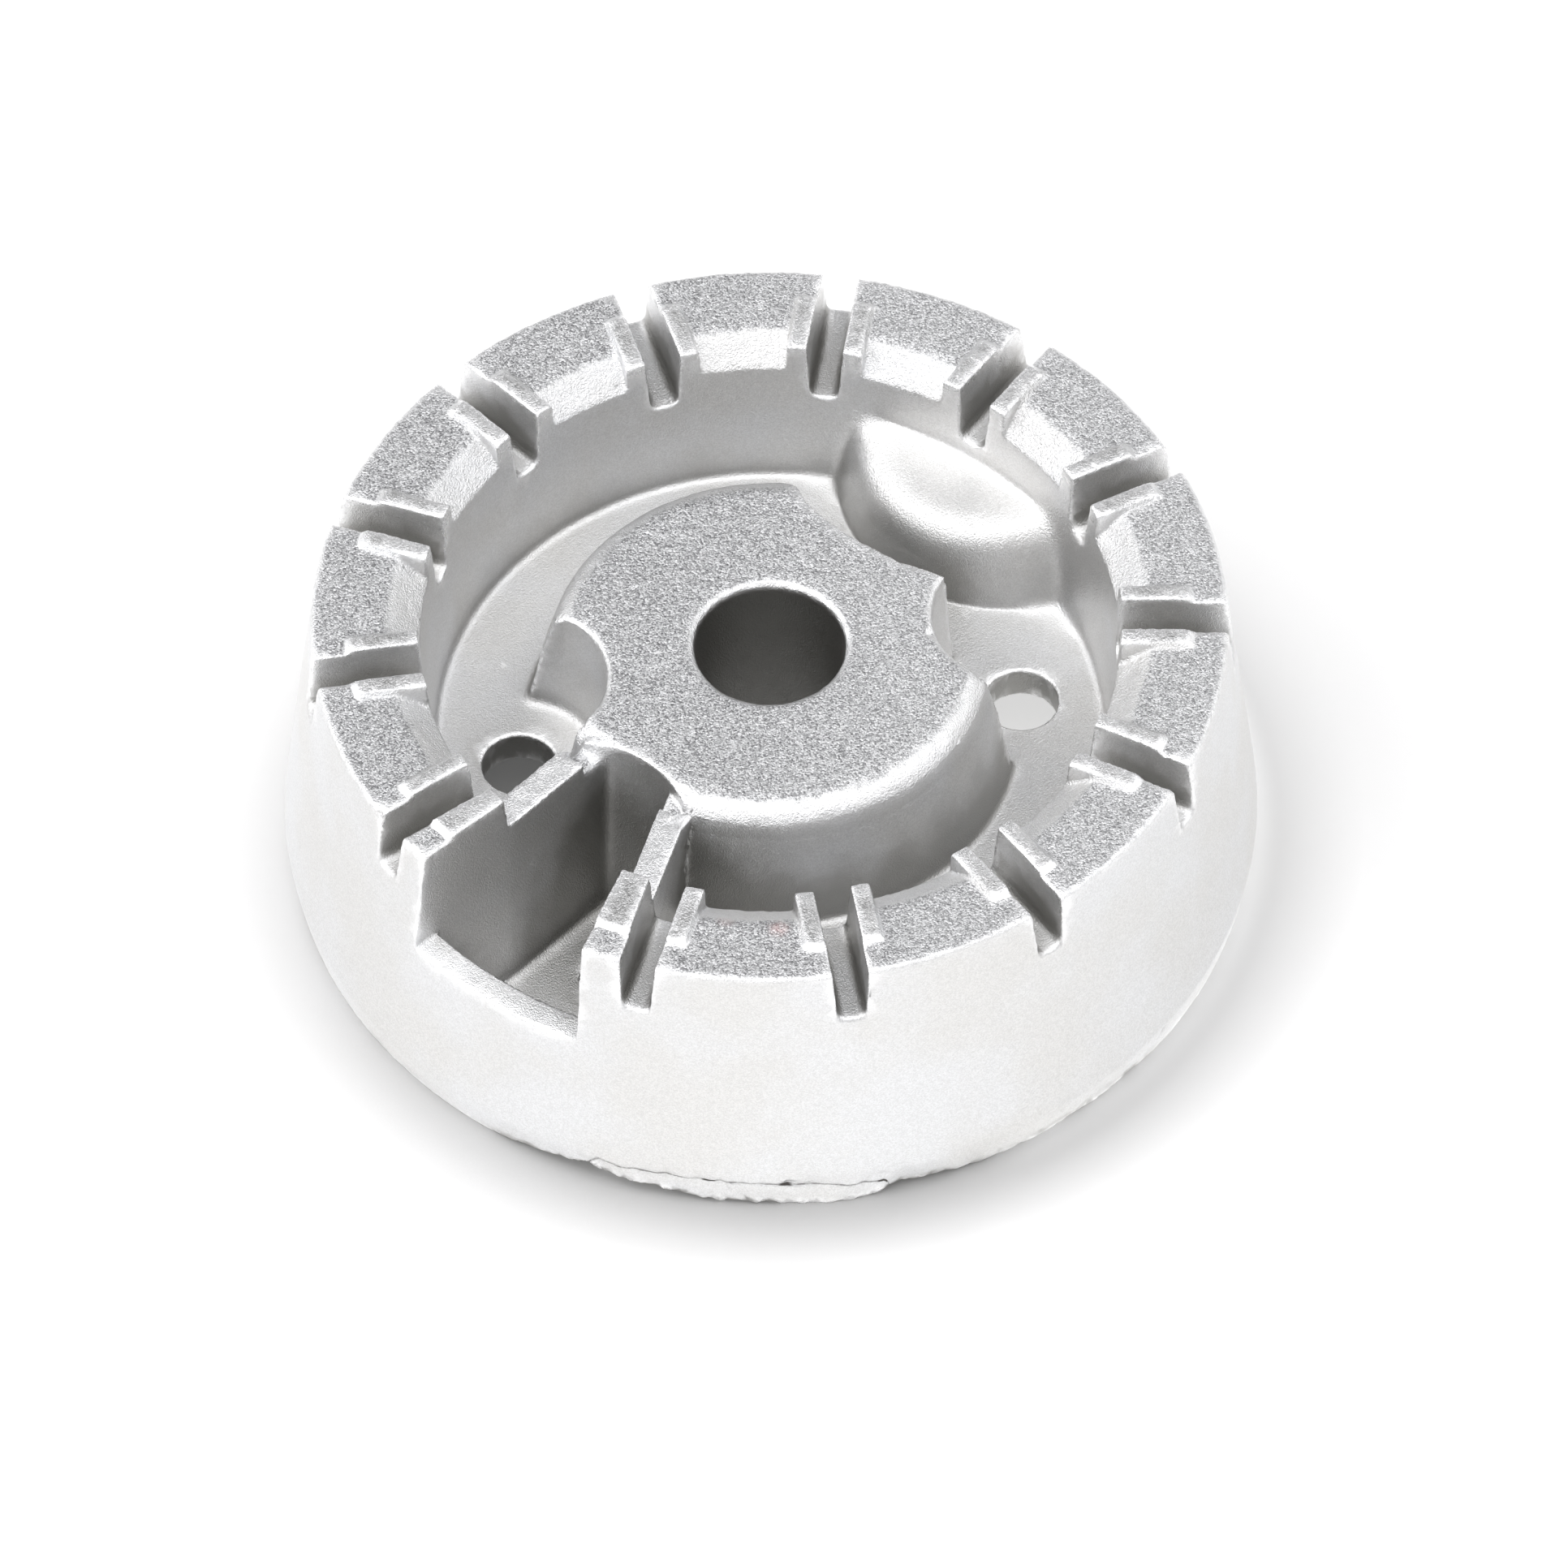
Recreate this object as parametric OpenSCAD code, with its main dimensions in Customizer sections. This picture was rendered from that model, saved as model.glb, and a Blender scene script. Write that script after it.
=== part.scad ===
/* [Flame ring] */
// Diameter of the ring across its top edge
ring_top_d = 55; // [54:0.5:58]
// Diameter of the skirt at its widest, on the parting line
ring_widest_d = 58.8; // [58.2:0.1:61]
// Height of the parting line above the foot plane
parting_h = 2.2; // [1:0.1:3]
// Distance that the foot stands back from the parting line
foot_step = 0.4; // [0.1:0.05:0.6]
// Height of the ring's flat land above the foot plane
land_h = 19.2; // [18.6:0.1:22]
// Diameter of the inner wall where its chamfer begins
ring_bore_d = 41.9; // [41:0.1:42.6]
// Draft of the inner wall in degrees
wall_draft = 4.8; // [1:0.2:6]
// Width of the chamfer between the inner wall and the land
chamfer_run = 2; // [1:0.1:2.4]
// Drop of that chamfer below the land
chamfer_drop = 1.55; // [0.8:0.05:2]
// Rounding between that chamfer and the land
chamfer_edge_r = 1.4; // [0.4:0.1:1.6]
// Rounding of the outer top edge
edge_r = 0.35; // [0.1:0.05:0.6]
// Thickness of the outer skirt
skirt_t = 1.8; // [1.2:0.1:2.4]
// Height of the hollow under the ring
ring_hollow_h = 13; // [10:0.2:13.6]
// Thickness of the wall between that hollow and the well
well_wall_t = 2; // [1.2:0.1:2.6]

/* [Gas slots and ribs] */
// Number of gas slots, an odd number, the middle one over the boss
slot_count = 13; // [5:2:13]
// Angle between neighbouring slots
slot_pitch = 26.8; // [20:0.1:26.8]
// Width of a slot at the level of the land
slot_top_w = 2.16; // [1.6:0.02:2.6]
// Width of a slot at its floor
slot_floor_w = 1.75; // [1.3:0.05:2.1]
// Depth of a slot below the land
slot_depth = 3.75; // [2.5:0.05:4.2]
// Rounding of a slot's floor corners
slot_corner_r = 0.55; // [0.2:0.05:0.6]
// Rounding of a slot's floor where it runs out of the ring
slot_mouth_r = 0.25; // [0.1:0.05:1]
// Width of the rib on each side of a slot
rib_w = 1.25; // [0.8:0.05:1.5]
// Rise of the ribs above the land
rib_rise = 0.4; // [0.2:0.05:0.8]
// Distance of the ribs' outer ends from the axis
rib_reach = 25.6; // [24:0.1:26.2]
// Run of the slope at the ribs' outer ends
rib_slope = 0.8; // [0.3:0.05:1.2]
// Rounding along the ribs' top edges
rib_edge_r = 0.3; // [0.05:0.05:0.35]

/* [Floor of the well] */
// Height of the floor's upper face above the foot plane
floor_h = 8.7; // [7.5:0.1:9.5]
// Thickness of the floor
floor_t = 2.3; // [1.5:0.1:3]
// Fillet round the floor
floor_fillet_r = 0.5; // [0.2:0.05:0.8]
// Diameter of the two screw holes
screw_hole_d = 4.5; // [3:0.1:5]
// Distance between the screw holes
screw_pitch = 30.6; // [29.6:0.1:31.4]

/* [Hub and bore] */
// Height of the hub's top above the foot plane
hub_h = 17.2; // [15.5:0.1:18.4]
// Diameter of the hub just below its rounded edge
hub_top_d = 25.8; // [25:0.1:27]
// Diameter of the hub at the floor
hub_foot_d = 29.8; // [28:0.1:30.6]
// Rounding of the hub's top edge
hub_edge_r = 1.25; // [0.4:0.05:1.6]
// Diameter of the gas bore
bore_d = 9; // [7:0.1:10]
// Rounding of the bore's lip
bore_lip_r = 0.55; // [0.2:0.05:0.8]
// Wall of the gas tube below the floor
tube_wall = 2.2; // [1.4:0.1:3]
// Height of the tube's lower end above the foot plane
tube_end_h = 2.4; // [1:0.1:5]
// Radius at the hub's top of the scallop that clears a screw head
scallop_r = 5.35; // [4.6:0.05:5.8]
// Draft of the scallops and of the cut that faces the boss, in degrees
scallop_draft = 2.4; // [0:0.2:4]
// Radius of the hollow cut in the hub's side that faces the boss
hub_cut_r = 17.5; // [12:0.5:24]
// Distance of that cut from the axis
hub_cut_reach = 9.55; // [9:0.05:11]
// Wall and roof left round the hollows under the hub
hub_wall = 2.2; // [1.6:0.1:2.6]

/* [Dished boss] */
// Direction of the boss from the axis
boss_angle = 45; // [40:1:50]
// Distance of the boss's centre from the axis
boss_reach = 23.4; // [22.5:0.1:24.4]
// Radius of the boss's face, out to where its side would meet it
boss_r = 8.55; // [7.5:0.05:9]
// Draft of the boss's side against its own axis, in degrees
boss_draft = 16; // [8:0.5:18]
// Height of the boss's top face at its centre
boss_h = 15; // [13.4:0.1:15.6]
// Lean of the boss and its face toward the ring, in degrees
boss_lean = 7.5; // [0:0.5:10]
// Rounding of the boss's rim
boss_rim_r = 1.4; // [0.6:0.1:2]
// Depth of the dish in the boss's face
dish_depth = 0.3; // [0.1:0.05:0.6]
// Wall left round the hollow under the boss
boss_wall = 2.2; // [1.6:0.1:3]

/* [Electrode pocket] */
// Width of the pocket in the ring's outer face
pocket_mouth_w = 11.9; // [10.5:0.1:12.4]
// Width of the pocket at the ring's inner wall
pocket_throat_w = 8.8; // [8:0.1:9]
// Width of the pocket at the hub
pocket_hub_w = 4.5; // [4:0.1:5]
// Sideways offset of the pocket's centre line
pocket_offset = -0.2; // [-0.4:0.05:0.4]
// Further sideways offset of the pocket's end at the hub
pocket_skew = -0.85; // [-1:0.05:1]
// Thickness of the low walls beside the pocket
pocket_wall = 1.9; // [1.4:0.1:2.4]
// Height of the low walls above the foot plane
low_wall_h = 16.9; // [14:0.1:17.1]
// Radius of the hollow that the pocket cuts in the hub
pocket_back_r = 8; // [7:0.1:10]
// Distance of that hollow from the axis
pocket_back_reach = 11.7; // [11:0.1:12.6]
// Height of the ledges where the low walls meet the hub
ledge_h = 16; // [13:0.1:16.6]
// Distance from the axis at which the low walls rise above those ledges
ledge_reach = 13.9; // [13.2:0.1:14.6]
// Height of the lip in front of the pocket
lip_h = 11.5; // [9:0.1:12.4]
// Thickness of the lip at its top
lip_t = 1.8; // [1.2:0.1:2.4]
// Height of the pocket's floor
pocket_floor_h = 2.6; // [2.2:0.1:4]
// Thickness of the pocket's floor
pocket_floor_t = 2; // [1:0.1:2.1]
// Diameter of the electrode's hole in the pocket's floor
electrode_hole_d = 4; // [3:0.1:4.4]
// Distance of the electrode's hole from the axis
electrode_reach = 17; // [16.6:0.1:18]
// Sideways offset of the electrode's hole from the middle of the pocket
electrode_offset = 0.6; // [0:0.1:0.8]

/* [Hidden] */
$fn = 120;
cast_grey = "silver";
// Longest straight run that a small rounding is drawn with
arc_run = 0.3;
// Largest turn between two such runs of a wide rounding, in degrees
arc_step = 12;
// How far a cutting shape runs past the face that it opens
past = 1;
// How deep a joined shape is sunk into what carries it
sunk = 0.6;
widest_r = ring_widest_d / 2;
foot_r = widest_r - foot_step;
// Radius clear of the whole casting
clear_r = max(widest_r, ring_top_d / 2) + past;
ring_wall_r = ring_bore_d / 2;
land_inner_r = ring_wall_r + chamfer_run;
chamfer_h = land_h - chamfer_drop;
rib_h = land_h + rib_rise;
over_h = rib_h + past;
skirt_lean = atan((widest_r - ring_top_d / 2) / (land_h - parting_h));
slot_floor_h = land_h - slot_depth;
slot_lean = atan((slot_top_w - slot_floor_w) / 2 / slot_depth);
slot_fan = (slot_count - 1) / 2 * slot_pitch;
slot_angles = [for (i = [0:slot_count - 1]) boss_angle - slot_fan + i * slot_pitch];
floor_under_h = floor_h - floor_t;
bore_r = bore_d / 2;
hub_lean = atan((hub_foot_d - hub_top_d) / 2 / (hub_h - hub_edge_r - floor_h));
pocket_angle = boss_angle + 180;
pocket_under_h = pocket_floor_h - pocket_floor_t;
opening_reach = ring_wall_r - sunk;
// First and last angle from the boss of the two hollows under the hub, in degrees
hollow_beside_boss = [50, 102];
hollow_beside_pocket = [210, 282];

// Points of an arc about a centre, from one angle to another
function arc(centre, r, from, to) =
    let (turn = abs(to - from))
    let (n = max(3, min(ceil(turn / arc_step), ceil(turn * PI / 180 * r / arc_run))))
    [for (i = [0:n]) centre + r * [cos(from + (to - from) * i / n), sin(from + (to - from) * i / n)]];

// Hollow corner between a level face at height h and a wall that leans out as it rises
function hollow_corner(wall, h, r, lean) =
    arc([wall + r * tan(lean) - r / cos(lean), h + r], r, 270, 360 - lean);

// Fillet at the foot of a wall that leans in as it rises from height h
function foot_fillet(wall, h, r, lean) =
    arc([wall - r * tan(lean) + r / cos(lean), h + r], r, 180 + lean, 270);

// Rounded edge where a wall that leans in as it rises meets a level face at height h
function top_edge(wall, h, r, lean) =
    arc([wall + r * tan(lean) - r / cos(lean), h - r], r, 90, lean);

// Radius of the skirt's outer face at height h, above the parting line
function skirt_r(h) = widest_r - (h - parting_h) * tan(skirt_lean);

// Radius of the skirt's inner face at height h
function skirt_inner_r(h) =
    foot_r - skirt_t - (foot_r - skirt_r(ring_hollow_h)) * h / ring_hollow_h;

// Radius of the ring's inner wall at height h
function wall_r(h) = ring_wall_r - (chamfer_h - h) * tan(wall_draft);

// Radius of the hub's flank at height h
function flank_r(h) = hub_foot_d / 2 - (h - floor_h) * tan(hub_lean);

// Points in reverse order
function reversed(points) = [for (i = [len(points) - 1:-1:0]) points[i]];

// Half of the width of the ring's opening at a distance from the axis
function opening_half(reach) =
    pocket_throat_w / 2
    + (pocket_mouth_w - pocket_throat_w) / 2 * (reach - ring_wall_r) / (ring_top_d / 2 - ring_wall_r);

// Half of the width between the low walls at a distance from the axis
function channel_half(reach) =
    pocket_hub_w / 2
    + (opening_half(opening_reach) - pocket_hub_w / 2)
    * (reach - pocket_back_reach) / (opening_reach - pocket_back_reach);

// Sideways place of the middle between the low walls
function channel_middle(reach) =
    pocket_offset + pocket_skew * (opening_reach - reach) / (opening_reach - pocket_back_reach);

// The ring and the floor as one turned shape, left high where the ribs will stand
module ring_and_floor() {
    color(cast_grey)
        rotate_extrude()
            polygon(concat(
                [[0, floor_under_h], [wall_r(floor_under_h) + well_wall_t, floor_under_h]],
                [[wall_r(ring_hollow_h) + well_wall_t, ring_hollow_h]],
                [[skirt_inner_r(ring_hollow_h), ring_hollow_h], [skirt_inner_r(0), 0]],
                [[foot_r, 0], [widest_r, parting_h], [skirt_r(over_h), over_h]],
                [[wall_r(over_h), over_h]],
                reversed(hollow_corner(wall_r(floor_h), floor_h, floor_fillet_r, wall_draft)),
                [[0, floor_h]]));
}

// Everything above the land, the chamfer and the rounded outer edge
module above_land() {
    edge = top_edge(ring_top_d / 2, land_h, edge_r, skirt_lean);
    chamfer_lean = atan(chamfer_drop / chamfer_run);
    foot_drop = sunk * tan(chamfer_lean);
    bend = [land_inner_r + chamfer_edge_r * tan(chamfer_lean / 2), land_h - chamfer_edge_r];
    rotate_extrude()
        polygon(concat(
            [[ring_wall_r - past, chamfer_h - foot_drop], [ring_wall_r - sunk, chamfer_h - foot_drop]],
            arc(bend, chamfer_edge_r, 90 + chamfer_lean, 90),
            edge,
            [[clear_r, edge[len(edge) - 1].y], [clear_r, over_h + past]],
            [[ring_wall_r - past, over_h + past]]));
}

// Cross-section of the two ribs that stand beside a slot, with the slot not yet cut
module rib_pair_section() {
    half = slot_top_w / 2 + rib_w;
    edge = top_edge(half, rib_h, rib_edge_r, 0);
    polygon(concat(
        [[-half, slot_floor_h], [half, slot_floor_h]],
        reversed(edge),
        [for (p = edge) [-p.x, p.y]]));
}

// Turned shape that ends the ribs in a slope
module rib_reach_limit() {
    slope = rib_rise / rib_slope;
    rotate_extrude()
        polygon([
            [ring_wall_r - past, slot_floor_h],
            [rib_reach + rib_slope / 2, slot_floor_h],
            [rib_reach + rib_slope / 2, land_h - slope * rib_slope / 2],
            [rib_reach - rib_slope - past / slope, rib_h + past],
            [ring_wall_r - past, rib_h + past]]);
}

// The raised metal: ribs beside every slot, and the whole stretch round the pocket
module raised_metal() {
    intersection() {
        rib_reach_limit();
        union() {
            for (angle = slot_angles)
                rotate([0, 0, angle])
                    translate([ring_wall_r - 2 * past, 0, 0])
                        rotate([90, 0, 90])
                            linear_extrude(height = clear_r - ring_wall_r + past)
                                rib_pair_section();
            rotate([0, 0, boss_angle + slot_fan])
                translate([0, 0, slot_floor_h])
                    rotate_extrude(angle = 360 - 2 * slot_fan)
                        translate([ring_wall_r - 2 * past, 0])
                            square([clear_r - ring_wall_r + past, rib_h - slot_floor_h]);
        }
    }
}

// Cross-section of a slot, with rounded corners at its floor
module slot_section() {
    corner = hollow_corner(slot_floor_w / 2, slot_floor_h, slot_corner_r, slot_lean);
    top_half = slot_top_w / 2 + (over_h + past - land_h) * tan(slot_lean);
    polygon(concat(
        corner,
        [[top_half, over_h + past], [-top_half, over_h + past]],
        [for (p = reversed(corner)) [-p.x, p.y]]));
}

// Bars that cut all slots, set lower by drop
module slot_bars(drop) {
    inner_end = wall_r(slot_floor_h) - sunk;
    for (angle = slot_angles)
        rotate([0, 0, angle])
            translate([inner_end, 0, -drop])
                rotate([90, 0, 90])
                    linear_extrude(height = clear_r - inner_end)
                        slot_section();
}

// The slots, each with its floor rounded where it runs out through the skirt
module slots() {
    mouth = top_edge(skirt_r(slot_floor_h), slot_floor_h, slot_mouth_r, skirt_lean);
    slot_bars(0);
    intersection() {
        slot_bars(slot_mouth_r);
        rotate_extrude()
            polygon(concat(
                mouth,
                [[clear_r, mouth[len(mouth) - 1].y], [clear_r, slot_floor_h + sunk]],
                [[mouth[0].x, slot_floor_h + sunk]]));
    }
}

// Turned tool that clears a screw's head: a wall that leans out, with a rounded foot
module scallop_tool() {
    foot = scallop_r - (hub_h - floor_h) * tan(scallop_draft);
    corner = hollow_corner(foot, floor_h, floor_fillet_r, scallop_draft);
    rotate_extrude()
        polygon(concat(
            [[0, floor_h - sunk / 2], [corner[0].x, floor_h - sunk / 2]],
            corner,
            [[scallop_r + past * tan(scallop_draft), hub_h + past], [0, hub_h + past]]));
}

// Tool that hollows the hub toward the boss, a wide cone with its wall leaning out
module hub_cut_tool() {
    translate([0, 0, floor_h - sunk / 2])
        cylinder(
            h = hub_h - floor_h + sunk / 2 + past,
            r1 = hub_cut_r - (hub_h - floor_h + sunk / 2) * tan(scallop_draft),
            r2 = hub_cut_r + past * tan(scallop_draft));
}

// The hub, scalloped round the screws and hollowed toward the boss
module hub() {
    foot = foot_fillet(hub_foot_d / 2, floor_h, floor_fillet_r, hub_lean);
    color(cast_grey)
        difference() {
            rotate_extrude()
                polygon(concat(
                    [[0, floor_h - sunk], [foot[len(foot) - 1].x, floor_h - sunk]],
                    reversed(foot),
                    reversed(top_edge(flank_r(hub_h), hub_h, hub_edge_r, hub_lean)),
                    [[0, hub_h]]));
            for (side = [-1, 1])
                translate([side * screw_pitch / 2, 0, 0])
                    scallop_tool();
            rotate([0, 0, boss_angle])
                translate([hub_cut_reach + hub_cut_r, 0, 0])
                    hub_cut_tool();
        }
}

// Tube that carries the gas up to the hub
module gas_tube() {
    color(cast_grey)
        translate([0, 0, tube_end_h])
            cylinder(h = floor_h - tube_end_h, r = bore_r + tube_wall);
}

// Gas bore with a rounded lip
module gas_bore() {
    rotate_extrude()
        polygon(concat(
            [[0, tube_end_h - past], [bore_r, tube_end_h - past]],
            reversed(arc([bore_r + bore_lip_r, hub_h - bore_lip_r], bore_lip_r, 90, 180)),
            [[bore_r + bore_lip_r, hub_h + past], [0, hub_h + past]]));
}

// Turned shape of the boss about its own axis, its rim's plane at height 0
module boss_turning() {
    rim = top_edge(boss_r, 0, boss_rim_r, boss_draft);
    dish_r = rim[0].x;
    dish_curve_r = (dish_r * dish_r + dish_depth * dish_depth) / (2 * dish_depth);
    foot = boss_h - floor_under_h;
    rotate_extrude()
        polygon(concat(
            [[0, -foot], [boss_r + foot * tan(boss_draft), -foot]],
            reversed(rim),
            reversed(arc([0, dish_curve_r - dish_depth], dish_curve_r, 270, 270 + asin(dish_r / dish_curve_r)))));
}

// The dished boss, trimmed where it is sunk into the floor and the ring
module boss() {
    color(cast_grey)
        intersection() {
            rotate([0, 0, boss_angle])
                translate([boss_reach, 0, boss_h])
                    rotate([0, -boss_lean, 0])
                        boss_turning();
            rotate_extrude()
                polygon([
                    [0, floor_h - sunk],
                    [wall_r(floor_h) + sunk, floor_h - sunk],
                    [wall_r(land_h) + sunk, land_h],
                    [0, land_h]]);
        }
}

// Hollow under the boss, inside the skirt
module boss_hollow() {
    roof_h = boss_h - boss_r * tan(boss_lean) - dish_depth - boss_wall;
    intersection() {
        rotate([0, 0, boss_angle])
            translate([boss_reach, 0, -past])
                cylinder(h = roof_h + past, r = boss_r - boss_wall);
        translate([0, 0, -past])
            cylinder(
                h = roof_h + 2 * past,
                r1 = skirt_inner_r(-past),
                r2 = skirt_inner_r(roof_h + past));
    }
}

// Hollows under the hub, between the tube, the scallops, the boss and the pocket
module hub_hollows() {
    roof_h = hub_h - hub_wall;
    inner_r = bore_r + tube_wall + sunk;
    for (span = [hollow_beside_boss, hollow_beside_pocket])
        rotate([0, 0, boss_angle + span[0]])
            rotate_extrude(angle = span[1] - span[0])
                polygon([
                    [inner_r, -past],
                    [flank_r(floor_h) - hub_wall, -past],
                    [flank_r(floor_h) - hub_wall, floor_h],
                    [flank_r(roof_h) - hub_wall, roof_h],
                    [inner_r, roof_h]]);
}

// Outline between the sides of the pocket from start to end, each side moved out by grow
module pocket_outline(start, end, grow) {
    polygon([
        [start, channel_middle(start) - channel_half(start) - grow],
        [opening_reach, pocket_offset - opening_half(opening_reach) - grow],
        [end, pocket_offset - opening_half(end) - grow],
        [end, pocket_offset + opening_half(end) + grow],
        [opening_reach, pocket_offset + opening_half(opening_reach) + grow],
        [start, channel_middle(start) + channel_half(start) + grow]]);
}

// The low walls and the metal round the pocket below the ring
module pocket_box() {
    start = pocket_back_reach - pocket_wall;
    joint_h = ring_hollow_h + sunk;
    color(cast_grey)
        intersection() {
            rotate([0, 0, pocket_angle]) {
                translate([0, 0, pocket_under_h])
                    linear_extrude(height = joint_h - pocket_under_h)
                        pocket_outline(start, foot_r, pocket_wall);
                translate([0, 0, joint_h])
                    linear_extrude(height = low_wall_h - joint_h)
                        pocket_outline(start, ring_wall_r, pocket_wall);
            }
            cylinder(h = land_h, r1 = foot_r - sunk, r2 = skirt_r(land_h) - sunk);
        }
}

// Outline of the hollow that the pocket leaves in the hub, out to a distance from the axis
module hub_hollow_outline(end) {
    intersection() {
        translate([pocket_back_reach + pocket_back_r, channel_middle(pocket_back_reach)])
            circle(r = pocket_back_r);
        translate([0, -foot_r])
            square([end, 2 * foot_r]);
    }
}

// Outline of the whole pocket, with its round end in the hub, out to a distance from the axis
module whole_outline(end) {
    intersection() {
        pocket_outline(pocket_back_reach - past, end, 0);
        union() {
            hub_hollow_outline(pocket_back_reach + pocket_back_r);
            translate([pocket_back_reach + pocket_back_r, -foot_r])
                square([end, 2 * foot_r]);
        }
    }
}

// Room for the electrode: closed by the lip below, open to the outside above it
module pocket_room() {
    translate([0, 0, pocket_floor_h])
        linear_extrude(height = lip_h - pocket_floor_h)
            intersection() {
                whole_outline(clear_r);
                circle(r = skirt_r(lip_h) - lip_t);
            }
    translate([0, 0, lip_h])
        linear_extrude(height = ledge_h - lip_h)
            whole_outline(clear_r);
    translate([0, 0, ledge_h])
        linear_extrude(height = over_h + past - ledge_h) {
            whole_outline(clear_r);
            hub_hollow_outline(ledge_reach);
        }
}

// Everything that is open round the electrode
module pocket() {
    rotate([0, 0, pocket_angle]) {
        pocket_room();
        translate([electrode_reach, electrode_offset, pocket_under_h - past])
            cylinder(h = pocket_floor_t + 2 * past, d = electrode_hole_d);
    }
}

// The screw holes through the floor
module screw_holes() {
    for (side = [-1, 1])
        translate([side * screw_pitch / 2, 0, floor_under_h - past])
            cylinder(h = floor_t + 2 * past, d = screw_hole_d);
}

module burner_body() {
    difference() {
        union() {
            ring_and_floor();
            hub();
            gas_tube();
            boss();
            pocket_box();
        }
        difference() {
            above_land();
            raised_metal();
        }
        slots();
        pocket();
        gas_bore();
        screw_holes();
        boss_hollow();
        hub_hollows();
    }
}

burner_body();
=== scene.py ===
"""Die-cast aluminium gas burner body on a white table, seen from above and in front."""

import logging
import math
from dataclasses import dataclass, field
from enum import Enum

import bmesh
import bpy
import numpy as np
from mathutils import Matrix, Vector


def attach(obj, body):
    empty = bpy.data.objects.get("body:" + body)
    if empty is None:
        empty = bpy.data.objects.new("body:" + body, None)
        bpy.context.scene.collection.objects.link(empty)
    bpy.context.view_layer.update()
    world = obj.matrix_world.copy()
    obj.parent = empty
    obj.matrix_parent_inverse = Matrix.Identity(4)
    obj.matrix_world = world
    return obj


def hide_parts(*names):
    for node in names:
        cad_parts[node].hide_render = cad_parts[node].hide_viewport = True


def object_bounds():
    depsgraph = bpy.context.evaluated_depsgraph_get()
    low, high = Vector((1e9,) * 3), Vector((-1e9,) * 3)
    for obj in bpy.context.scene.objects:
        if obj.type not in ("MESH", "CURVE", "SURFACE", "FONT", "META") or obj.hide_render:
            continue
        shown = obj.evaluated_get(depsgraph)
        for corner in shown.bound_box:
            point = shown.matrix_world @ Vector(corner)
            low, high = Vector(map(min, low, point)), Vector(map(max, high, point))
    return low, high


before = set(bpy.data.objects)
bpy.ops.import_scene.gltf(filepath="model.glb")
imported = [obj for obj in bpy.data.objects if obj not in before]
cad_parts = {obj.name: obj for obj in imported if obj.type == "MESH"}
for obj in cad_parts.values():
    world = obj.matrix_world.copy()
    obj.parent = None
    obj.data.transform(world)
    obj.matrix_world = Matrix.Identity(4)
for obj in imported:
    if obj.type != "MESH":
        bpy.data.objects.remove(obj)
cad_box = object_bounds()

LOG = logging.getLogger("gas_burner_body")
MM = 0.001
PHOTO_SIDE = 1932
Node = bpy.types.Node
Socket = bpy.types.NodeSocket


class Mark(Enum):
    """Values that are measured on the casting's surface and stored at its points."""

    EDGE = "edge"
    RIB = "rib"
    LEVEL = "level"
    SAND = "sand"
    # Painted highlight mask.
    PAINTED_HIGHLIGHT = "bright"
    # Drives painted shade in the recesses.
    SHELTER = "shelter"
    SEAM = "seam"


class Lattice:
    """Smooth random field on a cubic lattice, the same in every run."""

    def __init__(self, seed: int) -> None:
        """Keep the seed.

        Args:
            seed: Number that picks one random field.
        """
        self.seed = seed

    def corner(self, cell: np.ndarray) -> np.ndarray:
        """Random numbers at lattice corners.

        Args:
            cell: Whole-number corners, one row each.

        Returns:
            One number from -1 to 1 for each corner.
        """
        mixed = (cell[:, 0] * 374761393 + cell[:, 1] * 668265263 + cell[:, 2] * 2147483647
                 + self.seed * 144665) & 0xFFFFFFFF
        mixed = ((mixed ^ (mixed >> 13)) * 1274126177) & 0xFFFFFFFF
        return ((mixed ^ (mixed >> 16)) & 0xFFFF) / 32767.5 - 1.0

    def at(self, points: np.ndarray, size: float) -> np.ndarray:
        """Value of the field at points.

        Args:
            points: Places in metres, one row each.
            size: Distance between lattice corners in metres.

        Returns:
            One number from -1 to 1 for each point.
        """
        scaled = points / size
        cell = np.floor(scaled).astype(np.int64)
        part = scaled - cell
        part = part * part * (3.0 - 2.0 * part)
        total = np.zeros(len(points))
        for step in np.ndindex(2, 2, 2):
            share = np.prod(np.where(np.array(step) == 1, part, 1.0 - part), axis=1)
            total += share * self.corner(cell + np.array(step))
        return total


def smooth_step(value: np.ndarray, low: float, high: float) -> np.ndarray:
    """Ease from 0 at low to 1 at high.

    Args:
        value: Numbers to ease.
        low: Value that gives 0.
        high: Value that gives 1.

    Returns:
        The eased numbers.
    """
    part = np.clip((value - low) / (high - low), 0.0, 1.0)
    return part * part * (3.0 - 2.0 * part)


def mesh_points(mesh: bpy.types.Mesh) -> np.ndarray:
    """Read a mesh's points.

    Args:
        mesh: Mesh to read.

    Returns:
        One row of x, y and z for each point, in metres.
    """
    flat = np.zeros(len(mesh.vertices) * 3)
    mesh.vertices.foreach_get("co", flat)
    return flat.reshape(-1, 3)


def mesh_normals(mesh: bpy.types.Mesh) -> np.ndarray:
    """Read the directions in which a mesh's points face.

    Args:
        mesh: Mesh to read.

    Returns:
        One unit row for each point.
    """
    flat = np.zeros(len(mesh.vertices) * 3)
    mesh.vertex_normals.foreach_get("vector", flat)
    return flat.reshape(-1, 3)


def wrapped(angle: np.ndarray) -> np.ndarray:
    """Bring angles into the range from -180 to 180 degrees.

    Args:
        angle: Angles in degrees.

    Returns:
        The same directions in that range.
    """
    return (angle + 180.0) % 360.0 - 180.0


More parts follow.
